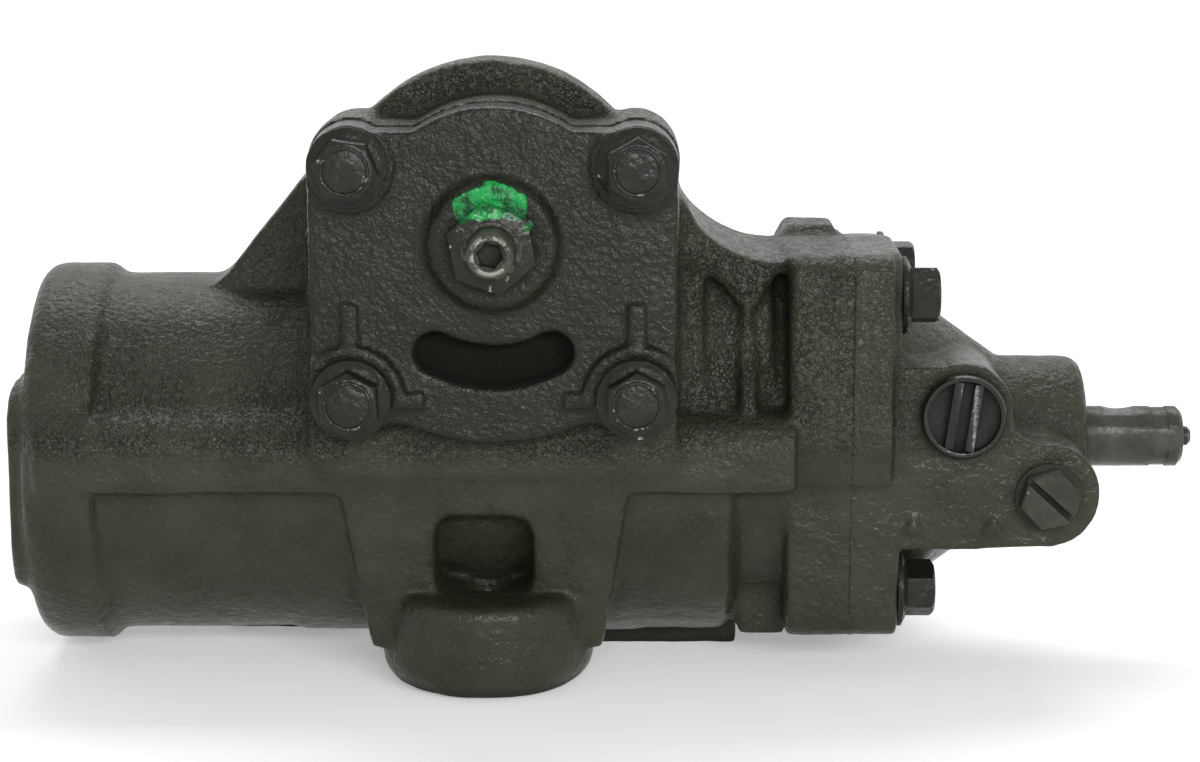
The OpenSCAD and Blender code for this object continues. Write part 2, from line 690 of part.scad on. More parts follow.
module port_seats() {
    px = joint_x + pressure_port_x;
    rx = joint_x + return_port_x;
    color([0.72, 0.58, 0.3]) {
        translate([px, 0, pressure_port_z]) y_turned() polygon([[3, -port_face + 16], [7, -port_face + 16],
            [7, -port_face + 13], [4.4, -port_face + 10.6], [3, -port_face + 10.6]]);
        translate([rx, 0, -return_port_z]) y_turned() polygon([[3, -port_face + 17], [6.4, -port_face + 17],
            [6.4, -port_face + 14], [4.2, -port_face + 11.6], [3, -port_face + 11.6]]);
    }
}

module worm_bearing_outer_race() {
    color(steel) x_turned() difference() {
        translate([27.6, race_left]) square([pocket_r - fit_gap - 27.6, race_right - race_left]);
        translate([race_circle_r, (race_left + race_right) / 2]) circle(r = race_ball_r + 0.06);
    }
}

module worm_bearing_inner_race() {
    color(steel) x_turned() difference() {
        translate([head_r + fit_gap, race_left]) square([23 - head_r - fit_gap, race_right - race_left]);
        translate([race_circle_r, (race_left + race_right) / 2]) circle(r = race_ball_r + 0.06);
    }
}

module worm_bearing_balls() {
    color(steel) for (i = [0:15])
        rotate([i * 22.5, 0, 0]) translate([(race_left + race_right) / 2, 0, race_circle_r])
            sphere(r = race_ball_r);
}

module worm_bearing_nut() {
    color(dark_steel) x_turned()
        translate([25.5, joint_x - 7.6]) square([pocket_r - fit_gap - 25.5, race_left - joint_x + 7.5]);
}

module input_bearing_shell() {
    color(steel) x_turned()
        translate([input_shell_in, bearing_left + 0.2]) square([1.6, bearing_right - bearing_left - 0.2]);
}

module input_bearing_needles() {
    color(steel) for (i = [0:21])
        rotate([i * 360 / 22, 0, 0])
            x_rod(bearing_left + 1, bearing_right - 1, needle_r, 0, journal_r + fit_gap + needle_r);
}

module input_seal() {
    color(rubber) x_turned()
        seal_section(journal_r + fit_gap, input_seal_r, seal_left + 0.6, seal_left + 7.2);
}

module input_snap_ring() {
    color(steel) x_turned()
        translate([journal_r + 2.8, seal_left + 7.8]) square([input_seal_r + 1.4 - journal_r - 2.8, 1.4]);
}

module input_dust_seal() {
    color(rubber) x_turned()
        seal_section(journal_r + fit_gap, input_seal_r, seal_left + 9.6, snout_end - 0.5);
}

module sector_bearing_shell() {
    color(steel) translate([0, 0, cd]) y_turned()
        translate([shell_in, half_face + 9]) square([1.55, 29]);
}

module sector_bearing_needles() {
    color(steel) for (i = [0:29])
        translate([0, 0, cd]) rotate([0, i * 12, 0])
            y_rod(half_face + 11, half_face + 37, 2.1, 0, rear_journal_r + fit_gap + 2.1);
}

module sector_seal() {
    color(rubber) translate([0, 0, cd]) y_turned()
        seal_section(rear_journal_r + fit_gap, seal_bore_r - fit_gap, half_face + 40, half_face + 48);
}

module sector_seal_washer() {
    color(steel) translate([0, 0, cd]) y_turned()
        translate([rear_journal_r + 1, half_face + 48.1]) square([seal_bore_r - rear_journal_r - 1.1, 1.6]);
}

module sector_dust_seal() {
    color(rubber) translate([0, 0, cd]) y_turned()
        seal_section(rear_journal_r + fit_gap, seal_bore_r - fit_gap, half_face + 49.8, half_face + 57);
}

module sector_snap_ring() {
    color(steel) translate([0, 0, cd]) y_turned()
        translate([rear_journal_r + 3.4, half_face + 57.2])
            square([seal_bore_r + 1.4 - rear_journal_r - 3.4, 1.5]);
}

module sector_tooth() {
    polygon(concat(
        [hang(sector_root_r - 3, -tooth_angle(base_r) - 2), hang(sector_root_r, -tooth_angle(base_r))],
        [for (i = [0:8]) let(r = max(base_r, sector_root_r) + (sector_tip_r - base_r) * i / 8)
            hang(r, -tooth_angle(r))],
        [for (i = [8:-1:0]) let(r = max(base_r, sector_root_r) + (sector_tip_r - base_r) * i / 8)
            hang(r, tooth_angle(r))],
        [hang(sector_root_r, tooth_angle(base_r)), hang(sector_root_r - 3, tooth_angle(base_r) + 2)]));
}

module sector_shaft() {
    serration_start = trunnion_end + 8;
    taper_r = rear_journal_r - 2.5;
    thread_start = serration_start + taper_length;
    front_end = cover_front + 9;
    color(steel) translate([0, 0, cd]) difference() {
        union() {
            y_turned() polygon([[0, front_end], [front_journal_r - 1, front_end],
                [front_journal_r, front_end + 1], [front_journal_r, -half_face - 4],
                [front_journal_r + 3, -half_face],
                [front_journal_r + 3, half_face + 0.5], [rear_journal_r, half_face + 2],
                [rear_journal_r, serration_start - 4], [taper_r - 1.6, serration_start - 2],
                [taper_r - 1.6, serration_start + 1], [0, serration_start + 1]]);
            front_plate(half_face, sector_face) union() {
                polygon(concat([[0, 0]], [for (i = [0:12]) hang(sector_root_r, -44 + 88 * i / 12)]));
                for (a = [-1, 0, 1])
                    rotate([0, 0, a * 360 / sector_full_teeth]) sector_tooth();
            }
            translate([0, serration_start, 0]) rotate([-90, 0, 0])
                linear_extrude(taper_length, scale = 0.88) polygon([for (i = [0:2 * serrations - 1])
                    (taper_r - (i % 2) * 1.3) * [cos(i * 180 / serrations), sin(i * 180 / serrations)]]);
            y_turned() polygon([[0, thread_start - 1], [thread_r - 1.2, thread_start - 1],
                [thread_r - 1.2, thread_start + 1.6], [thread_r, thread_start + 2.6],
                [thread_r, thread_start + thread_length - 1.5], [thread_r - 1.5, thread_start + thread_length],
                [0, thread_start + thread_length]]);
        }
        y_rod(front_end - 1, cover_front + 20.4, 12.2);
        y_rod(thread_start + thread_length - 4, thread_start + thread_length + 1, 3);
    }
}

module adjuster_retainer() {
    color(dark_steel) difference() {
        y_rod(cover_front + 9.4, cover_front + 13, 12.2 - fit_gap, z = cd);
        y_rod(cover_front + 8, cover_front + 14, adjuster_r + 0.6, z = cd);
    }
}

// Cross section of a ball groove cut along the axis, as a radius at each turn angle
function groove_depth(a) = sqrt(max(0, groove_r * groove_r - pow(ball_lead * a / 360, 2)));

module worm_section() {
    polygon([for (i = [-11:12]) let(a = i * 15, r = min(worm_r, ball_circle_r - groove_depth(a)))
        r * [cos(a), sin(a)]]);
}

module nut_section() {
    polygon([for (i = [-11:12]) let(a = i * 15, r = max(nut_r - 0.6, ball_circle_r + groove_depth(a)))
        r * [cos(a), sin(a)]]);
}

module rack_cut() {
    span = 2.5 * tooth_pitch;
    top = rack_top + 20;
    front_plate(60, 120) difference() {
        translate([-span, rack_z - dedendum]) square([2 * span, top - rack_z + dedendum]);
        for (i = [-2, -1, 0, 1])
            translate([(i + 0.5) * tooth_pitch, rack_z]) polygon([
                [-tooth_half - dedendum * tan(pressure_angle) - 0.01, -dedendum - 0.01],
                [tooth_half + dedendum * tan(pressure_angle) + 0.01, -dedendum - 0.01],
                [tooth_half - addendum * tan(pressure_angle), addendum],
                [-tooth_half + addendum * tan(pressure_angle), addendum]]);
    }
}

module rack_piston() {
    groove_left = circuit_left - 5;
    groove_length = circuit_right - circuit_left + 10;
    turn = (groove_left - thread_left) / ball_lead * 360;
    color(steel) difference() {
        x_turned() polygon([[0, piston_left], [piston_r - 2, piston_left], [piston_r, piston_left + 2],
            [piston_r, piston_right - 2], [piston_r - 2, piston_right], [0, piston_right]]);
        rack_cut();
        x_rod(piston_left - 1, piston_right + 1, nut_r);
        translate([groove_left, 0, 0]) rotate([0, 90, 0]) rotate([0, 0, turn])
            linear_extrude(groove_length, twist = -360 * groove_length / ball_lead,
                slices = floor(groove_length / ball_lead * 14), $fn = 24) nut_section();
        x_turned() translate([piston_r - 4.6, piston_left + 14]) square([6, 4.4]);
        for (x = [circuit_left, circuit_right]) {
            z_rod(-50, -ball_circle_r + 2, ball_r + 1.3, x, ball_circle_r);
            z_rod(-ball_circle_r, -0.6, ball_r + 0.9, x, ball_circle_r + 0.6);
        }
        translate([circuit_left - 7, ball_circle_r - 6.2, -60]) cube([2 * ball_lead + 14, 12.4, 34]);
        translate([circuit_left + ball_lead - 10, -9, -60]) cube([20, 31, 22]);
        for (sx = [-1, 1])
            z_rod(-45, -28, 2.1, circuit_left + ball_lead + sx * 6, -1);
    }
}

module piston_ring() {
    color([0.25, 0.22, 0.18]) x_turned()
        translate([bore_r - 3.1, piston_left + 14.2]) square([3.07, 4]);
}

module piston_ring_expander() {
    color(rubber) x_turned()
        translate([piston_r - 4.5, piston_left + 14.4]) square([1.35, 3.6]);
}

module piston_end_plug() {
    color(dark_steel) difference() {
        x_rod(piston_left, piston_left + 11, nut_r - fit_gap);
        translate([piston_left - 1, 0, 0]) rotate([0, 90, 0]) cylinder(h = 7, r = 8, $fn = 6);
    }
}

module recirculating_balls() {
    low = circuit_left + ball_lead / 4;
    color(steel) {
        for (i = [0:23])
            let(a = 90 + i * 360 / 13)
                translate([circuit_left + i * ball_lead / 13, ball_circle_r * sin(a), -ball_circle_r * cos(a)])
                    sphere(r = ball_r);
        for (x = [circuit_left, circuit_right])
            for (k = [0, 1])
                translate([x, ball_circle_r, -ball_circle_r - 1 - k * (ball_d + 0.3)]) sphere(r = ball_r);
        for (k = [-1, 0, 1])
            translate([circuit_left + ball_lead + k * (ball_d + 0.4), ball_circle_r, -33]) sphere(r = ball_r);
    }
}

module guide_path(r) {
    z_rod(-27, -ball_circle_r + 1.8, r, circuit_left, ball_circle_r);
    z_rod(-27, -ball_circle_r + 1.8, r, circuit_right, ball_circle_r);
    x_rod(circuit_left + 6, circuit_right - 6, r, ball_circle_r, -33);
    translate([circuit_left + 6, ball_circle_r, -27]) rotate([90, 180, 0])
        rotate_extrude(angle = 90) translate([6, 0]) circle(r = r);
    translate([circuit_right - 6, ball_circle_r, -27]) rotate([90, 90, 0])
        rotate_extrude(angle = 90) translate([6, 0]) circle(r = r);
}

module ball_return_guide() {
    color(steel) difference() {
        guide_path(ball_r + 1.2);
        guide_path(ball_r + 0.3);
        z_rod(-ball_circle_r, -ball_circle_r + 4, ball_r + 0.3, circuit_left, ball_circle_r);
        z_rod(-ball_circle_r, -ball_circle_r + 4, ball_r + 0.3, circuit_right, ball_circle_r);
    }
}

module ball_guide_clamp() {
    color(dark_steel) difference() {
        translate([circuit_left + ball_lead - 9.7, -8.7, -40]) cube([19.4, 28, 2]);
        for (sx = [-1, 1])
            z_rod(-41, -37, 2.2, circuit_left + ball_lead + sx * 6, -1);
    }
}

module ball_guide_screws() {
    color(dark_steel) for (sx = [-1, 1])
        translate([circuit_left + ball_lead + sx * 6, -1, 0]) {
            z_rod(-40.1, -29, 2.05);
            z_rod(-43.4, -40, 3.6);
        }
}

module worm_shaft() {
    length = thread_right - thread_left;
    color(steel) difference() {
        union() {
            translate([thread_left, 0, 0]) rotate([0, 90, 0])
                linear_extrude(length, twist = -360 * length / ball_lead,
                    slices = floor(length / ball_lead * 14), $fn = 24) worm_section();
            x_turned() polygon([[0, thread_right - 0.5], [ball_circle_r - groove_r - 0.6, thread_right - 0.5],
                [12, thread_right + 4], [12, joint_x - 12], [20, joint_x - 9], [20, race_left - 0.1],
                [head_r, race_left - 0.1], [head_r, joint_x + 16], [0, joint_x + 16]]);
        }
        translate([joint_x + 6, -6.1, -12]) cube([12, 12.2, 24]);
        x_rod(joint_x - 8, joint_x + 7, bar_r + fit_gap);
        z_rod(head_r - 4, head_r + 1, 1.9 + fit_gap, joint_x + 13);
    }
}

module valve_sleeve() {
    color(steel) difference() {
        x_rod(sleeve_left, sleeve_right, sleeve_r);
        x_rod(sleeve_left - 1, sleeve_left + 8, head_r + fit_gap);
        x_rod(sleeve_left + 7, sleeve_right + 1, spool_r + fit_gap);
        for (i = [0:3])
            x_turned() translate([sleeve_r - 2.2, sleeve_left + 9.5 + i * 7.6]) square([4, 2.4]);
        for (i = [0:2])
            for (k = [0:3])
                rotate([k * 90 + 30 * i, 0, 0])
                    z_rod(spool_r - 2, sleeve_r + 1, 1.7, sleeve_left + 14.5 + i * 7.6);
        z_rod(head_r - 1, sleeve_r + 1, 1.9 + fit_gap, joint_x + 13);
    }
}

module valve_sleeve_rings() {
    color([0.3, 0.2, 0.14]) for (i = [0:3])
        x_turned() translate([sleeve_r - 2.1, sleeve_left + 9.6 + i * 7.6]) square([2.44, 2.2]);
}

module sleeve_drive_pin() {
    color(steel) z_rod(head_r - 3.9, sleeve_r - 0.1, 1.9, joint_x + 13);
}

module input_shaft() {
    spool_left = joint_x + 18.5;
    spool_right = sleeve_right - 0.5;
    color(steel) difference() {
        union() {
            rotate([37.5, 0, 0]) x_turned() polygon([[0, spool_left], [spool_r, spool_left],
                [spool_r, spool_right], [journal_r, spool_right + 1], [journal_r, snout_end - 1],
                [input_r, snout_end], [input_r, input_end - 1.6], [input_r - 1.6, input_end], [0, input_end]]);
            translate([joint_x + 6.4, -5, -11]) cube([13, 10, 22]);
        }
        for (i = [0:5])
            rotate([i * 60 + 15, 0, 0]) translate([spool_left + 6, -2.2, spool_r - 1]) cube([16, 4.4, 3]);
        x_rod(joint_x + 5, input_end - 20, bar_r + 0.5);
        x_rod(input_end - 21, input_end + 1, bar_r + fit_gap);
        y_rod(-15, 15, 10.6, input_end - 20, input_r + 8.8);
        x_turned() polygon([[input_r + 1, input_end - 10.9], [input_r + 1, input_end - 4.3],
            [input_r - 0.35, input_end - 5.1], [input_r - 0.35, input_end - 10.1]]);
        rotate([176, 0, 0]) translate([snout_end + 1.5, input_r - 0.9, -6]) cube([input_reach + 2, 3, 12]);
        z_rod(-20, 20, 1.5 + fit_gap, seal_left + 8.5);
    }
}

module torsion_bar() {
    tip = input_end + 3.4;
    color(steel) difference() {
        x_turned() polygon([[0, joint_x - 7], [bar_r, joint_x - 7], [bar_r, joint_x + 9], [2.5, joint_x + 13],
            [2.5, input_end - 26], [bar_r, input_end - 19.5], [bar_r, tip - 1], [bar_r - 1, tip], [0, tip]]);
        z_rod(-5, 5, 1.5 + fit_gap, seal_left + 8.5);
    }
}

module torsion_bar_pin() {
    color(steel) z_rod(-journal_r + 0.6, journal_r - 0.6, 1.5, seal_left + 8.5);
}

seat() main_housing();
seat() sector_cover();
seat() cover_gasket();
seat() cover_bolts();
seat() cover_bush();
seat() adjuster_screw();
seat() adjuster_lock_nut();
seat() valve_housing();
seat() valve_housing_seal();
seat() valve_housing_bolts();
seat() pressure_port_cap();
seat() return_port_plug();
seat() port_seats();
seat() worm_bearing_outer_race();
seat() worm_bearing_balls();
seat() worm_bearing_nut();
seat() input_bearing_shell();
seat() input_bearing_needles();
seat() input_seal();
seat() input_snap_ring();
seat() input_dust_seal();
seat() sector_bearing_shell();
seat() sector_bearing_needles();
seat() sector_seal();
seat() sector_seal_washer();
seat() sector_dust_seal();
seat() sector_snap_ring();
seat() sector_shaft();
seat() adjuster_retainer();
seat() rack_piston();
seat() piston_ring();
seat() piston_ring_expander();
seat() piston_end_plug();
seat() recirculating_balls();
seat() ball_return_guide();
seat() ball_guide_clamp();
seat() ball_guide_screws();
seat() worm_shaft();
seat() worm_bearing_inner_race();
seat() valve_sleeve();
seat() valve_sleeve_rings();
seat() sleeve_drive_pin();
seat() input_shaft();
seat() torsion_bar();
seat() torsion_bar_pin();
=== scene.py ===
import json
import math

import bmesh
import bpy
import numpy as np
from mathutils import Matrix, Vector, noise


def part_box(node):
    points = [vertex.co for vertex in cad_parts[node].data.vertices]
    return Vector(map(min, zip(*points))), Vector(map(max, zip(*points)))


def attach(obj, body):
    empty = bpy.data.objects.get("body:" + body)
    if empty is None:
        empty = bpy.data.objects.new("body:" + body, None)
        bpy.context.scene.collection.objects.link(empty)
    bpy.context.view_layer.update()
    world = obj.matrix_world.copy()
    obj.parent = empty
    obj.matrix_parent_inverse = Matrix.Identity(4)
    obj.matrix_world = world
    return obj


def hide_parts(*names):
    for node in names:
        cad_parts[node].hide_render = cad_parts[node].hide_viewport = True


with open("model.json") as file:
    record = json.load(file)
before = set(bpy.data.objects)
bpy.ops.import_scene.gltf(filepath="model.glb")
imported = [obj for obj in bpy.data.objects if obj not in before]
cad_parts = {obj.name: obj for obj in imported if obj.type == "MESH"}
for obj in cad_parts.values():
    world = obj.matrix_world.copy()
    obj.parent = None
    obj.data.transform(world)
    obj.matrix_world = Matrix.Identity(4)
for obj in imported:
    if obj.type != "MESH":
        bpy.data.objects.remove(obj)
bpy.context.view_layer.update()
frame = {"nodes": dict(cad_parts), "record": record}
scene = bpy.context.scene
scene.view_settings.view_transform = "Standard"

# Places on the part are in millimetres of the row frame; the camera, floor and lamps are in metres
MM = 0.001
# A point of the worm axis, straight below the sector axis
SEAT = np.array([3.5, 42.0, 70.0])
# The sector axis runs along Y, through this X and Z; the adjuster and its nut lie on it
SECTOR_X, SECTOR_Z = 3.5, 145.0


def link(obj):
    scene.collection.objects.link(obj)
    return obj


# Camera, at the angle of the photograph
PHOTO_WIDTH_PX = 1200
FOCAL_PX = 3049.0
LOOK_AT = Vector((0.0355, 0.042, 0.0883))
ELEVATION = math.radians(10.5)
DISTANCE = 1.0

cam_data = bpy.data.cameras.new("camera")
cam_data.sensor_fit = "HORIZONTAL"
cam_data.angle = 2 * math.atan(PHOTO_WIDTH_PX / 2 / FOCAL_PX)
camera = link(bpy.data.objects.new("camera", cam_data))
gaze = Vector((0, math.cos(ELEVATION), -math.sin(ELEVATION)))
camera.location = LOOK_AT - gaze * DISTANCE
camera.rotation_euler = gaze.to_track_quat("-Z", "Y").to_euler()
scene.camera = camera


# Small helpers for node materials
def linear(r, g, b):
    """A colour written in 0 to 255, as the shader takes it"""
    return tuple(((c / 255 + 0.055) / 1.055) ** 2.4 for c in (r, g, b)) + (1.0,)


class Shade:
    """One material's node tree; scales are per millimetre"""

    def __init__(self, name):
        self.mat = bpy.data.materials.new(name)
        self.mat.use_nodes = True
        self.tree = self.mat.node_tree
        self.tree.nodes.clear()
        self.out = self.add("ShaderNodeOutputMaterial")
        self.coord = self.add("ShaderNodeTexCoord").outputs["Object"]

    def add(self, kind, ins=None, **attrs):
        node = self.tree.nodes.new(kind)
        for key, value in attrs.items():
            setattr(node, key, value)
        for key, value in (ins or {}).items():
            if isinstance(value, bpy.types.NodeSocket):
                self.tree.links.new(value, node.inputs[key])
            else:
                node.inputs[key].default_value = value
        return node

    def noise(self, per_mm, detail=3.0, rough=0.55, distort=0.0):
        ins = {"Vector": self.coord, "Scale": per_mm / MM}
        ins.update({"Detail": detail, "Roughness": rough, "Distortion": distort})
        return self.add("ShaderNodeTexNoise", ins).outputs["Fac"]

    def voronoi(self, per_mm, feature="F1", vector=None):
        ins = {"Vector": vector or self.coord, "Scale": per_mm / MM}
        return self.add("ShaderNodeTexVoronoi", ins, feature=feature).outputs["Distance"]

    def vector(self, op, *values):
        return self.add("ShaderNodeVectorMath", dict(enumerate(values)), operation=op)

    def axis(self, name):
        """One coordinate of the row frame, in millimetres"""
        parts = self.add("ShaderNodeSeparateXYZ", {0: self.coord})
        return self.math("MULTIPLY", parts.outputs[name], 1 / MM)

    def warped(self, per_mm, reach_mm):
        """The coordinates, pushed about by a noise"""
        ins = {"Vector": self.coord, "Scale": per_mm / MM, "Detail": 2.0}
        push = self.add("ShaderNodeTexNoise", ins).outputs["Color"]
        centred = self.vector("SUBTRACT", push, (0.5, 0.5, 0.5)).outputs[0]
        reach = 2 * reach_mm * MM
        return self.vector("MULTIPLY_ADD", centred, (reach, reach, reach), self.coord).outputs[0]

    def ramp(self, value, a, b, low=0.0, high=1.0):
        """A smooth step: low where the value is a, high where it is b"""
        ins = {"Value": value, "From Min": a, "From Max": b, "To Min": low, "To Max": high}
        node = self.add("ShaderNodeMapRange", ins, interpolation_type="SMOOTHSTEP")
        return node.outputs["Result"]

    def math(self, op, a, b=0.0):
        return self.add("ShaderNodeMath", {0: a, 1: b}, operation=op).outputs[0]

    def mul(self, *values):
        total = values[0]
        for value in values[1:]:
            total = self.math("MULTIPLY", total, value)
        return total

    def any_of(self, masks):
        total = masks[0]
        for mask in masks[1:]:
            total = self.math("MAXIMUM", total, mask)
        return total

    def mix(self, fac, a, b):
        return self.add("ShaderNodeMix", {0: fac, 6: a, 7: b}, data_type="RGBA").outputs[2]

    def between(self, fac, a, b):
        return self.add("ShaderNodeMix", {0: fac, 2: a, 3: b}, data_type="FLOAT").outputs[0]

    def bump(self, height, strength, distance_mm, normal=None):
        ins = {"Height": height, "Strength": strength, "Distance": distance_mm * MM}
        if normal is not None:
            ins["Normal"] = normal
        return self.add("ShaderNodeBump", ins).outputs["Normal"]

    def spot(self, centre_mm, radius_mm, soft_mm, wobble=None, flat=False):
        """1 inside a ball about a point, 0 outside; flat leaves the depth (Y) out"""
        centre = [c * MM for c in centre_mm]
        where = self.coord
        if flat:
            centre[1] = 0.0
            where = self.vector("MULTIPLY", where, (1, 0, 1)).outputs[0]
        away = self.vector("DISTANCE", where, centre).outputs["Value"]
        if wobble is not None:
            away = self.math("ADD", away, wobble)
        return self.ramp(away, (radius_mm + soft_mm) * MM, (radius_mm - soft_mm) * MM)

    def corner_shade_mask(self, reach_mm):
        """1 in inner corners, 0 in the open; the colour darkens there as painted shade"""
        node = self.add("ShaderNodeAmbientOcclusion", {"Distance": reach_mm * MM}, samples=3)
        return self.ramp(node.outputs["AO"], 0.92, 0.45)

    def surface(self, **ins):
        named = {key.replace("_", " "): value for key, value in ins.items()}
        shader = self.add("ShaderNodeBsdfPrincipled", named)
        self.tree.links.new(shader.outputs["BSDF"], self.out.inputs["Surface"])
        return self.mat


DARK = linear(40, 40, 30)
LIGHT = linear(52, 53, 41)
# Painted shade: the dark tone of the crinkle seams, the inner corners and the cover's pocket
PAINTED_SHADE = linear(15, 15, 9)
SPECK = linear(150, 150, 138)
BARE = linear(176, 172, 160)
GREEN = linear(20, 150, 70)
GREEN_DEEP = linear(8, 74, 34)
SHADOW = (0.001, 0.001, 0.001, 1)
FRESH_ROUGH = 0.18
CORNER_ROUGH = 0.8
POCKET_ROUGH = 0.9
RUBBER_CORNER_ROUGH = 0.85

# The green daub: dabs on an arc about the sector axis (angle in degrees, radius), and a drop
DAUB_ARC_R = 13.6
DABS = ((128, 3.6), (110, 4.6), (92, 5.0), (76, 4.8), (60, 3.8))
DROP, DROP_R = (14.2, 0, 151.3), 1.5


def daub_mask(s):
    """Where the inspector's green paint lies on the adjuster nut and its boss"""
    wobble = s.ramp(s.noise(0.2, 1.0), 0.3, 0.7, -0.9 * MM, 0.9 * MM)
    dabs = []
    for angle, radius in DABS:
        turn = math.radians(angle)
        x = SECTOR_X + DAUB_ARC_R * math.cos(turn)
        z = SECTOR_Z + DAUB_ARC_R * math.sin(turn)
        dabs.append(s.spot((x, 0, z), radius, 0.25, wobble, flat=True))
    dabs.append(s.spot(DROP, DROP_R, 0.2, flat=True))
    depth = s.axis("Y")
    nut_to_boss = (s.ramp(depth, -52.4, -52.0), s.ramp(depth, -41.6, -42.4))
    return s.mul(s.any_of(dabs), *nut_to_boss)


def daub_colour(s):
    return s.mix(s.ramp(s.noise(0.16, 3.0, 0.6), 0.42, 0.6), GREEN, GREEN_DEEP)


def pocket_shade_mask(s):
    """The inside of the pocket below the adjuster, which takes painted shade"""
    within = s.spot((SECTOR_X, 0, SECTOR_Z), 47.0, 0.5, flat=True)
    below = s.ramp(s.axis("Z"), 134.0, 132.0)
    sunk = s.ramp(s.axis("Y"), -39.5, -38.4)
    return s.mul(within, below, sunk)


def cast_paint(
    name, crinkle=1.0, grain=1.0, gloss=0.0, ripple=0.25, depth=1.0, wet=(), daub=False
):
    """Thick black paint over a sand casting: cracked and pebbled above the rib, smoother below

    crinkle, grain and ripple scale the cracks, the pebbles and the slow waves, gloss lowers the
    roughness, depth scales the base tone, and wet lists balls where the paint ran.
    """
    s = Shade(name)
    height = s.axis("Z")
    upper = s.ramp(height, 70.0, 80.0)
    barrel_top = s.mul(s.ramp(s.axis("X"), -58.0, -72.0), s.ramp(height, 106.0, 122.0))
    band = s.mul(upper, s.ramp(barrel_top, 0.0, 1.0, 1.0, 0.12))
    patch = s.mul(s.ramp(s.noise(0.03, 2.0), 0.32, 0.56, 0.3, 1.0), band)

    # Base tone, slightly mottled
    dark, light = [tuple(c * depth for c in hue[:3]) + (1.0,) for hue in (DARK, LIGHT)]
    colour = s.mix(s.ramp(s.noise(0.05, 4.0, 0.62), 0.3, 0.7), dark, light)
    fine = s.ramp(s.noise(0.8, 3.0, 0.6), 0.36, 0.64)
    colour = s.mix(s.mul(fine, 0.45), colour, light)

    # Cracked paint film: raised glossy islands, with painted shade in the seams between them
    net = s.voronoi(0.8, "DISTANCE_TO_EDGE", s.warped(0.45, 0.8))
    broken = s.ramp(s.noise(0.5, 2.0), 0.36, 0.54)
    island = s.ramp(net, 0.0, 0.15)
    seam = s.mul(s.math("SUBTRACT", 1.0, island), broken, patch, crinkle)
    colour = s.mix(s.mul(seam, 0.85), colour, PAINTED_SHADE)

    # Small pale specks, in patches
    pale_specks = s.ramp(s.voronoi(0.5), 0.085, 0.04)
    pale_specks = s.mul(pale_specks, s.ramp(s.noise(0.08, 1.0), 0.5, 0.62))
    colour = s.mix(s.mul(pale_specks, 0.3), colour, SPECK)

    # Relief, from slow waves to fine pebbles, then the seams
    coarse = s.ramp(upper, 0.0, 1.0, 0.6 * grain, 1.1 * grain)
    n = s.bump(s.mul(s.noise(0.11, 2.0), grain), 1.0, 0.9)
    n = s.bump(s.mul(s.noise(0.26, 2.0, 0.5, 0.6), ripple), 1.0, 1.0, n)
    n = s.bump(s.mul(s.noise(0.55, 2.0, 0.5, 0.3), coarse), 1.0, 0.75, n)
    n = s.bump(s.mul(s.noise(1.4, 2.0, 0.55), coarse), 1.0, 0.2, n)
    n = s.bump(s.math("SUBTRACT", 1.0, seam), 1.0, 0.2, n)
    rough = s.ramp(s.noise(0.25, 3.0), 0.25, 0.75, 0.22 - gloss, 0.36 - gloss)
    rough = s.between(seam, rough, 0.7)
    if wet:
        near = s.any_of([s.spot(centre, radius, 7.0) for centre, radius in wet])
        runs = s.noise(0.17, 2.0, 0.5, 0.8)
        n = s.bump(s.mul(runs, near), 0.75, 1.6, n)
        rough = s.between(near, rough, 0.24)

    # Painted shade in the inner corners and in the cover's pocket, then the green daub
    corner_shade = s.corner_shade_mask(6.0)
    colour = s.mix(s.mul(corner_shade, 0.85), colour, PAINTED_SHADE)
    rough = s.between(corner_shade, rough, CORNER_ROUGH)
    if daub:
        pocket = pocket_shade_mask(s)
        colour = s.mix(pocket, colour, PAINTED_SHADE)
        rough = s.between(pocket, rough, POCKET_ROUGH)
        green = daub_mask(s)
        colour = s.mix(green, colour, daub_colour(s))
        rough = s.between(green, rough, FRESH_ROUGH)
        n = s.bump(green, 0.8, 0.35, n)
    return s.surface(Base_Color=colour, Roughness=rough, Normal=n, Specular_IOR_Level=0.21)


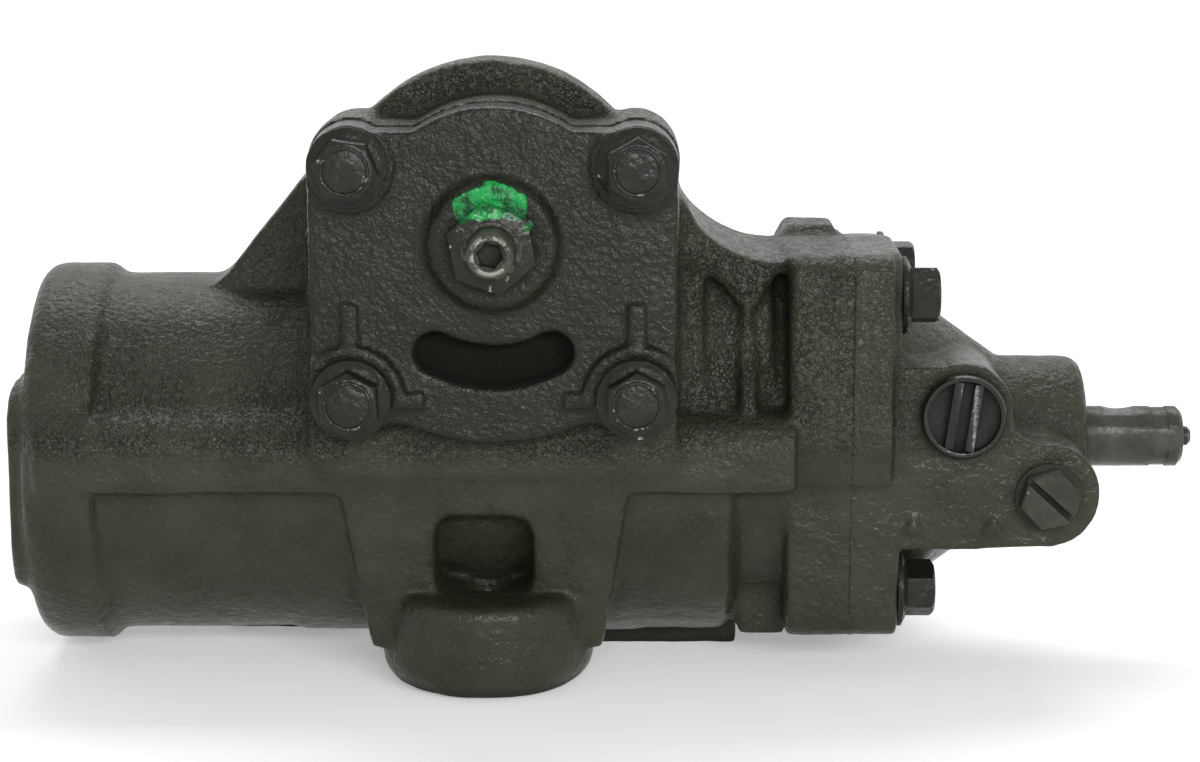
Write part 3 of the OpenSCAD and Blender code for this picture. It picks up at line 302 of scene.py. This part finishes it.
def worn_paint(
    name, tone=(36, 36, 28), wear=0.35, rough=0.3, lumps=1.0, chips=(), rings=(), daub=False
):
    """Black paint on a turned or forged piece, with bare metal where it is rubbed

    chips lists balls of bare metal, and rings lists bare bands about an axis along Y, each with
    its centre, radius, half width and amount.
    """
    s = Shade(name)
    tint = s.ramp(s.noise(0.12, 4.0, 0.6), 0.3, 0.7)
    colour = s.mix(tint, linear(*[0.7 * c for c in tone]), linear(*tone))

    # Bare metal on edges, in chips and in rings, but not in the inner corners, which take painted
    # shade
    edge = s.ramp(s.add("ShaderNodeNewGeometry").outputs["Pointiness"], 0.53, 0.60)
    rubbed = s.ramp(s.noise(0.4, 4.0), 0.64 - 0.14 * wear, 0.70 - 0.14 * wear)
    bare = [s.mul(edge, rubbed)]
    ragged = s.ramp(s.noise(0.5, 3.0), 0.3, 0.7, -1.4 * MM, 1.4 * MM)
    for centre, radius in chips:
        bare.append(s.spot(centre, radius, 0.3, ragged))
    for centre, radius, width, amount in rings:
        inner = s.spot(centre, radius - width, 0.25, flat=True)
        outer = s.spot(centre, radius + width, 0.25, flat=True)
        gaps = s.ramp(s.noise(0.45, 4.0), 0.42, 0.58)
        bare.append(s.mul(s.math("SUBTRACT", outer, inner), gaps, amount))
    # Painted shade: the colour darkens in inner corners
    corner_shade = s.corner_shade_mask(5.0)
    colour = s.mix(s.mul(corner_shade, 0.9), colour, PAINTED_SHADE)
    chip = s.mul(s.any_of(bare), s.ramp(corner_shade, 0.3, 0.0))
    colour = s.mix(chip, colour, BARE)
    metallic = s.mul(chip, 0.8)

    n = s.bump(s.noise(0.2, 2.0), 1.0, 0.7 * lumps)
    n = s.bump(s.noise(0.6, 2.0, 0.5), 1.0, 0.28 * lumps, n)
    rough = s.ramp(s.noise(0.4, 2.0), 0.3, 0.7, rough - 0.08, rough + 0.08)
    rough = s.between(corner_shade, rough, CORNER_ROUGH)
    if daub:
        green = daub_mask(s)
        colour = s.mix(green, colour, daub_colour(s))
        rough = s.between(green, rough, FRESH_ROUGH)
        metallic = s.mul(metallic, s.math("SUBTRACT", 1.0, green))
    return s.surface(
        Base_Color=colour, Roughness=rough, Metallic=metallic, Normal=n, Specular_IOR_Level=0.24
    )


def metal(name, colour, rough):
    """Machined metal with a fine grain"""
    s = Shade(name)
    tint = s.ramp(s.noise(0.2, 3.0), 0.3, 0.7)
    base = s.mix(tint, linear(*[max(c - 22, 0) for c in colour]), linear(*colour))
    n = s.bump(s.noise(2.2, 2.0), 0.10, 0.03)
    rough = s.ramp(s.noise(0.6, 3.0), 0.25, 0.75, rough - 0.08, rough + 0.1)
    return s.surface(Base_Color=base, Roughness=rough, Metallic=1.0, Normal=n)


def soft(name, colour, rough):
    """Rubber, sheet gasket or moulded plastic"""
    s = Shade(name)
    tint = s.ramp(s.noise(0.3, 3.0), 0.3, 0.7)
    base = s.mix(tint, linear(*[max(c - 8, 0) for c in colour]), linear(*colour))
    n = s.bump(s.noise(1.4, 3.0), 0.14, 0.06)
    n = s.bump(s.noise(0.3, 2.0), 1.0, 0.25, n)
    # Painted shade: inner corners go nearly black
    corner_shade = s.corner_shade_mask(7.0)
    base = s.mix(corner_shade, base, SHADOW)
    rough = s.ramp(s.noise(0.5, 2.0), 0.3, 0.7, rough - 0.06, rough + 0.06)
    rough = s.between(corner_shade, rough, RUBBER_CORNER_ROUGH)
    return s.surface(Base_Color=base, Roughness=rough, Normal=n, Specular_IOR_Level=0.3)


# Where thick paint ran round the two ports, and where metal shows on bolt, nut and screw
PORT_RUNS = (((148.5, -10.0, 87.2), 27.0), ((175.7, -10.0, 61.3), 18.0))
BOLT_CHIPS = (((-40.0, -52.2, 82.6), 2.2), ((-36.6, -52.2, 83.2), 1.6))
NUT_RING = ((SECTOR_X, 0, SECTOR_Z), 8.2, 0.8, 0.35)
SCREW_RING = ((SECTOR_X, 0, SECTOR_Z), 5.4, 0.7, 0.5)

CAST = cast_paint("cast_black_paint")
# The cover takes the casting paint with its base tone cut to 0.42, as painted shade
COVER_PAINT = cast_paint(
    "cover_black_paint", crinkle=0.2, grain=0.8, gloss=0.04, ripple=0.3, depth=0.42, daub=True
)
VALVE_PAINT = cast_paint(
    "valve_black_paint", crinkle=0.5, grain=0.9, gloss=0.05, ripple=0.5, depth=1.05, wet=PORT_RUNS
)
BOLT_PAINT = worn_paint("fastener_paint", (31, 31, 24), chips=BOLT_CHIPS)
NUT_PAINT = worn_paint("lock_nut_paint", rings=(NUT_RING,), daub=True)
SCREW_PAINT = worn_paint("screw_paint", (66, 66, 58), 0.9, 0.34, 0.6, rings=(SCREW_RING,))

SLOTS = {
    "cast_black": CAST,
    "painted_fastener": BOLT_PAINT,
    "painted_steel": worn_paint("steel_paint", (58, 58, 49), 0.3, 0.3, 0.4),
    "gasket": soft("gasket_sheet", (34, 34, 32), 0.7),
    "bronze": metal("bush_bronze", (176, 138, 84), 0.36),
    "brass_seat": metal("seat_brass", (196, 160, 92), 0.3),
    "cap_plastic": soft("cap_plastic_black", (26, 26, 21), 0.26),
    "rubber": soft("seal_rubber", (30, 30, 30), 0.6),
    "ptfe": soft("filled_ptfe", (92, 76, 60), 0.45),
    "hard_steel": metal("ground_steel", (190, 190, 188), 0.22),
    "plain_steel": metal("turned_steel", (150, 150, 148), 0.36),
    "forged_steel": metal("gear_steel", (168, 168, 166), 0.32),
    "shaft_steel": worn_paint("shaft_paint", (66, 67, 59), 0.5, 0.3, 0.35),
}

NODE_SLOT = {row["node"]: row["material_slot"] for row in frame["record"]["subparts"]}
for node_name, node_obj in frame["nodes"].items():
    node_obj.data.materials.clear()
    node_obj.data.materials.append(SLOTS[NODE_SLOT[node_name]])


def new_piece(name, node, body, mesh, paint=None):
    """A piece that stands for a CAD node"""
    slot = NODE_SLOT[node]
    obj = link(bpy.data.objects.new(name, mesh))
    mesh.materials.clear()
    mesh.materials.append(paint or SLOTS[slot])
    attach(obj, body)
    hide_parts(node)
    return obj


# Castings: the plain solids gain the rounded edges and uneven skin of a sand casting
SKIN_SLOW, SKIN_FAST = 55, 190  # waves of the skin, per metre
SKIN_FAST_SHARE = 0.45
SKIN_HEIGHT = 0.32


def evaluated_mesh(obj):
    depsgraph = bpy.context.evaluated_depsgraph_get()
    return bpy.data.meshes.new_from_object(obj.evaluated_get(depsgraph))


def points_of(mesh):
    co = np.empty(len(mesh.vertices) * 3)
    mesh.vertices.foreach_get("co", co)
    return co.reshape(-1, 3)


def relax(mesh, weights, rounds, shift):
    """Moves each point towards its neighbours by its weight, roughens the skin and adds a shift

    weights and shift take the points in millimetres from SEAT.
    """
    co = points_of(mesh)
    count = len(co)
    ends = np.empty(len(mesh.edges) * 2, np.int32)
    mesh.edges.foreach_get("vertices", ends)
    a, b = ends.reshape(-1, 2).T
    degree = np.bincount(a, minlength=count) + np.bincount(b, minlength=count)
    weight = weights(co / MM - SEAT)
    pull = 0.5 * weight[:, None]
    for _ in range(rounds):
        total = np.stack(
            [np.bincount(a, co[b, k], count) + np.bincount(b, co[a, k], count) for k in range(3)],
            axis=1,
        )
        co += pull * (total / degree[:, None] - co)
    mesh.vertices.foreach_set("co", co.ravel())
    mesh.update()

    normals = np.empty(count * 3)
    mesh.vertices.foreach_get("normal", normals)
    wave = np.array([
        noise.noise(Vector(p) * SKIN_SLOW) + SKIN_FAST_SHARE * noise.noise(Vector(p) * SKIN_FAST)
        for p in co
    ])
    co += normals.reshape(-1, 3) * (wave * weight * SKIN_HEIGHT * MM)[:, None]
    co += shift(co / MM - SEAT) * MM
    co[:, 2] = np.maximum(co[:, 2], 0)  # nothing dips below the floor
    mesh.vertices.foreach_set("co", co.ravel())
    mesh.update()


def casting(node, voxel_mm, rounds, weights, shift, keep=1.0, forms=None):
    """The node's solid with its forms, remeshed, relaxed and thinned to a share of its faces"""
    rough = link(bpy.data.objects.new(node + "_rough", frame["nodes"][node].data.copy()))
    if forms:
        bm = bmesh.new()
        bm.from_mesh(rough.data)
        forms(bm)
        bm.to_mesh(rough.data)
        bm.free()
    remesh = rough.modifiers.new("voxels", "REMESH")
    remesh.mode = "VOXEL"
    remesh.voxel_size = voxel_mm * MM
    mesh = evaluated_mesh(rough)
    relax(mesh, weights, rounds, shift)
    if keep < 1.0:
        rough.modifiers.clear()
        rough.data = mesh
        thin = rough.modifiers.new("thin", "DECIMATE")
        thin.ratio = keep
        mesh = evaluated_mesh(rough)
    bpy.data.objects.remove(rough)
    mesh.shade_smooth()
    return mesh


def prism(bm, along, outline, start, end):
    """A solid added to a casting, its outline in the two other axes, in millimetres from SEAT"""
    ends = []
    for place in (start, end):
        loop = []
        for a, b in outline:
            point = np.array((place, a, b) if along == "X" else (a, place, b))
            loop.append(bm.verts.new((point + SEAT) * MM))
        ends.append(loop)
    bm.faces.new(ends[0])
    bm.faces.new(ends[1][::-1])
    for i in range(len(outline)):
        bm.faces.new((ends[0][i - 1], ends[0][i], ends[1][i], ends[1][i - 1]))


# The web between the tower and the flange is nearly filled, up to just behind the flange's front
WEB_FACE = [
    (58, 64), (58, 84), (62, 76.5), (67, 71.5), (74, 67.5), (82, 65), (93, 64.2), (93, 61.5),
    (87, 61), (78.5, 47), (71.5, 55.5), (64.5, 62),
]
WEB_FRONT, WEB_BACK = -48.5, -30
# Walls below it: front at the foot, front at the top, start and end along the worm
WEB_WALLS = (
    (-52.5, -47.5, 58, 64.5),
    (-50.0, -42.5, 63, 86),
    (-51.5, -46.0, 76.0, 79.0),
    (-48.5, -37.0, 85, 93),
)


def housing_forms(bm):
    prism(bm, "Y", WEB_FACE, WEB_FRONT, WEB_BACK)
    for low_front, high_front, start, end in WEB_WALLS:
        side = [
            (low_front, 22), (high_front, 60), (-12, 60), (-12, 47), (-22, 43.5), (-30, 38.5),
            (-36.5, 32), (low_front + 3.5, 22),
        ]
        prism(bm, "X", side, start, end)


# Sizes of the castings, in millimetres from SEAT
SECTOR_UP = SECTOR_Z - SEAT[2]
WORM_BORE_R = 47.5
WORM_BORE_END = -138
CHAMBER_R, CHAMBER_FRONT, CHAMBER_BACK = 49.5, -67, 31
SECTOR_BORE_R, SECTOR_BORE_FRONT = 29.5, 28
MOUNT_HOLES = ((-3.5, -42), (54, 46), (-72, 46))
MOUNT_HOLE_TOP = -39
COVER_SEAT_BOTTOM = 12
JOINT_X = 111.5  # between the housing and the valve housing
JOINT_GAP = 1.2  # what the two castings move to shut the joint's groove
COLLAR_STEP_X, COLLAR_STEP_HALF, COLLAR_STEP_TOP = -125.5, 4.5, 40
SCREW_BORE_R = 7.6
INPUT_BORE_R = 24.6
VALVE_SPIGOT_END = 121
# Ports: X, Z, radius, and the Y that they end before
PORTS = ((145, 17.2, 9.6, -35), (172.2, -8.7, 8.1, -34))
PAD_MARKS_X, PAD_MARKS_Z, PAD_FRONT = (130.2, 155.2), -18.7, -49


def fade(distance, a, b):
    """0 below a, 1 above b, smooth between"""
    t = np.clip((distance - a) / (b - a), 0, 1)
    return t * t * (3 - 2 * t)


def housing_weights(p):
    """0 on machined places, little at the collar's step, 1 on the cast skin"""
    x, y, z = p.T
    w = np.ones(len(p))
    w[(x > WORM_BORE_END) & (np.hypot(y, z) < WORM_BORE_R)] = 0
    sector = np.hypot(x, z - SECTOR_UP)
    w[(y > CHAMBER_FRONT) & (y < CHAMBER_BACK) & (sector < CHAMBER_R)] = 0
    w[(y > SECTOR_BORE_FRONT) & (sector < SECTOR_BORE_R)] = 0
    for hole_x, hole_y in MOUNT_HOLES:
        off_hole = fade(np.hypot(x - hole_x, y - hole_y), 8.0, 10.0)
        w *= np.where(z < MOUNT_HOLE_TOP, off_hole, 1)
    w *= np.where(z > COVER_SEAT_BOTTOM, fade(y, -65.4, -64.0), 1)
    w *= fade(JOINT_X - x, 0.4, 1.4)
    w[(z < COLLAR_STEP_TOP) & (np.abs(x - COLLAR_STEP_X) < COLLAR_STEP_HALF)] *= 0.12
    return w


def housing_shift(p):
    """Shuts the joint's groove, and sinks the front above and below the rib, beside the collar"""
    x, y, z = p.T
    step = np.zeros_like(p)
    step[:, 0] = np.where(x > 110.4, JOINT_GAP, 0)
    above = 1.6 * fade(z, 18.5, 21.0) * fade(-z, -48.0, -36.0)
    below = fade(-z, 6.0, 9.0)
    along = fade(x, -126.5, -124.5) * fade(-x, 40.0, 70.0)
    sunk = along * (below + above) * fade(-y, 5.0, 20.0)
    step[:, 1] += np.where(np.hypot(y, z) > 52, sunk, 0)
    return step


def cover_weights(p):
    x, y, z = p.T
    w = fade(-66.8 - y, 0.5, 1.6)
    w[np.hypot(x, z - SECTOR_UP) < SCREW_BORE_R] = 0
    return w


def valve_weights(p):
    x, y, z = p.T
    worm = np.hypot(y, z)
    w = fade(x - JOINT_X, 0.4, 1.4)
    w[worm < INPUT_BORE_R] = 0
    w[(x < VALVE_SPIGOT_END) & (worm < WORM_BORE_R)] = 0
    for port_x, port_z, radius, back in PORTS:
        w[(y < back) & (np.hypot(x - port_x, z - port_z) < radius)] = 0
    for mark_x in PAD_MARKS_X:
        off_mark = fade(np.hypot(x - mark_x, z - PAD_MARKS_Z), 3.5, 5.5)
        w *= np.where(y < PAD_FRONT, off_mark * 0.8 + 0.2, 1)
    return w


def valve_shift(p):
    x, y, z = p.T
    step = np.zeros_like(p)
    step[:, 0] = np.where((x < 112.6) & (np.hypot(y, z) > WORM_BORE_R), -JOINT_GAP, 0)
    return step


housing_mesh = casting(
    "main_housing", 1.2, 8, housing_weights, housing_shift, keep=0.3, forms=housing_forms
)
new_piece("housing_casting", "main_housing", "casing", housing_mesh)
cover_mesh = casting("sector_cover", 0.7, 10, cover_weights, np.zeros_like)
new_piece("cover_casting", "sector_cover", "casing", cover_mesh, COVER_PAINT)
valve_mesh = casting("valve_housing", 0.9, 8, valve_weights, valve_shift)
new_piece("valve_casting", "valve_housing", "casing", valve_mesh, VALVE_PAINT)


# Turned and forged pieces: the same solids with their edges broken
WELD = 2e-6  # metres
SLIVER = 1e-6  # metres
SHARP_ANGLE = math.radians(30)
BEVEL_ANGLE = math.radians(32)


def broken_edges(node, name, body, width_mm, paint=None):
    bm = bmesh.new()
    bm.from_mesh(frame["nodes"][node].data)
    bmesh.ops.remove_doubles(bm, verts=bm.verts, dist=WELD)
    bmesh.ops.dissolve_degenerate(bm, edges=bm.edges, dist=SLIVER)
    mesh = bpy.data.meshes.new(name)
    bm.to_mesh(mesh)
    bm.free()
    mesh.shade_smooth()
    mesh.set_sharp_from_angle(angle=SHARP_ANGLE)
    obj = new_piece(name, node, body, mesh, paint)
    bevel = obj.modifiers.new("edges", "BEVEL")
    bevel.width = width_mm * MM
    bevel.segments = 2
    bevel.limit_method = "ANGLE"
    bevel.angle_limit = BEVEL_ANGLE
    bevel.harden_normals = True


broken_edges("cover_bolts", "cover_bolts_dressed", "casing", 0.45)
broken_edges("valve_housing_bolts", "valve_bolts_dressed", "casing", 0.45)
broken_edges("adjuster_lock_nut", "lock_nut_dressed", "casing", 0.4, NUT_PAINT)
broken_edges("adjuster_screw", "adjuster_screw_dressed", "casing", 0.25, SCREW_PAINT)
broken_edges("pressure_port_cap", "port_cap_dressed", "casing", 0.3)
broken_edges("return_port_plug", "port_plug_dressed", "casing", 0.35)
broken_edges("input_shaft", "input_shaft_dressed", "input", 0.3)


# Raised rings on the heads of the cover bolts
COVER_BOLTS = ((-39.5, 168.0), (46.5, 168.0), (-39.5, 98.0), (46.5, 98.0))
HEAD_RING_R, HEAD_RING_THICK_R = 6.9, 0.55


def ring(bm, centre_mm, major_mm, minor_mm, turns=48, sides=8):
    rows = []
    for i in range(turns):
        a = 2 * math.pi * i / turns
        row = []
        for j in range(sides):
            b = 2 * math.pi * j / sides
            r = major_mm + minor_mm * math.cos(b)
            offset = Vector((r * math.cos(a), minor_mm * math.sin(b), r * math.sin(a)))
            row.append(bm.verts.new((Vector(centre_mm) + offset) * MM))
        rows.append(row)
    for i in range(turns):
        for j in range(sides):
            bm.faces.new((rows[i - 1][j - 1], rows[i - 1][j], rows[i][j], rows[i][j - 1]))


heads = bmesh.new()
head_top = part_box("cover_bolts")[0][1] / MM
for bolt_x, bolt_z in COVER_BOLTS:
    ring(heads, (bolt_x, head_top, bolt_z), HEAD_RING_R, HEAD_RING_THICK_R)
bmesh.ops.recalc_face_normals(heads, faces=heads.faces)
rings_mesh = bpy.data.meshes.new("bolt_head_rings")
heads.to_mesh(rings_mesh)
heads.free()
rings_mesh.shade_smooth()
rings_mesh.materials.append(BOLT_PAINT)
head_rings = link(bpy.data.objects.new("bolt_head_rings", rings_mesh))
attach(head_rings, "casing")


# Floor: pale, and lighter with distance so that it runs into the white surround
FLOOR_HALF = 9
NEAR, FAR = 0.2, 1.6
NEAR_GLOW, FAR_GLOW = 0.32, 0.7
PALE, PALER = (0.93, 0.93, 0.93, 1), (0.96, 0.96, 0.96, 1)
WHITE = (1, 1, 1, 1)

floor_mesh = bpy.data.meshes.new("floor")
corner_signs = ((-1, -1), (1, -1), (1, 1), (-1, 1))
floor_corners = [(x * FLOOR_HALF, y * FLOOR_HALF, 0) for x, y in corner_signs]
floor_mesh.from_pydata(floor_corners, [], [(0, 1, 2, 3)])
floor = link(bpy.data.objects.new("floor", floor_mesh))
pale = Shade("floor_pale")
floor_mesh.materials.append(
    pale.surface(
        Base_Color=pale.mix(pale.ramp(pale.noise(0.004, 2.0), 0.3, 0.7), PALE, PALER),
        Roughness=0.8,
        Emission_Color=WHITE,
        Emission_Strength=pale.ramp(
            pale.vector("LENGTH", pale.coord).outputs["Value"], NEAR, FAR, NEAR_GLOW, FAR_GLOW
        ),
    )
)

# White surround where it is seen, a weaker dome where it lights
DOME_STRENGTH = 0.3
SEEN_STRENGTH = 1.0

world = bpy.data.worlds.new("surround")
scene.world = world
world.use_nodes = True
sky = world.node_tree
sky.nodes.clear()
path = sky.nodes.new("ShaderNodeLightPath")
seen = path.outputs["Is Camera Ray"]
for ray in ("Is Glossy Ray", "Is Transmission Ray"):
    either = sky.nodes.new("ShaderNodeMath")
    either.operation = "MAXIMUM"
    sky.links.new(seen, either.inputs[0])
    sky.links.new(path.outputs[ray], either.inputs[1])
    seen = either.outputs[0]
blend = sky.nodes.new("ShaderNodeMixShader")
sky.links.new(seen, blend.inputs[0])
for place, strength in ((1, DOME_STRENGTH), (2, SEEN_STRENGTH)):
    glow = sky.nodes.new("ShaderNodeBackground")
    glow.inputs["Color"].default_value = WHITE
    glow.inputs["Strength"].default_value = strength
    sky.links.new(glow.outputs[0], blend.inputs[place])
world_out = sky.nodes.new("ShaderNodeOutputWorld")
sky.links.new(blend.outputs[0], world_out.inputs["Surface"])

# Softboxes: place, width and height, watts; all aim at the middle of the part
AIM = Vector((0.02, 0.04, 0.09))
SOFTBOXES = {
    "overhead": ((0.0, 0.6, 1.05), (1.2, 0.5), 8.0),
    "front": ((0.35, -1.35, 0.55), (1.0, 0.2), 14.5),
    "rear": ((-1.2, 1.0, 0.6), (0.9, 0.4), 2.0),
}
for lamp_name, (place, size, power) in SOFTBOXES.items():
    lamp_data = bpy.data.lights.new(lamp_name, "AREA")
    lamp_data.shape = "RECTANGLE"
    lamp_data.size, lamp_data.size_y = size
    lamp_data.energy = power
    lamp = link(bpy.data.objects.new(lamp_name, lamp_data))
    lamp.location = place
    lamp.rotation_euler = (AIM - Vector(place)).to_track_quat("-Z", "Y").to_euler()
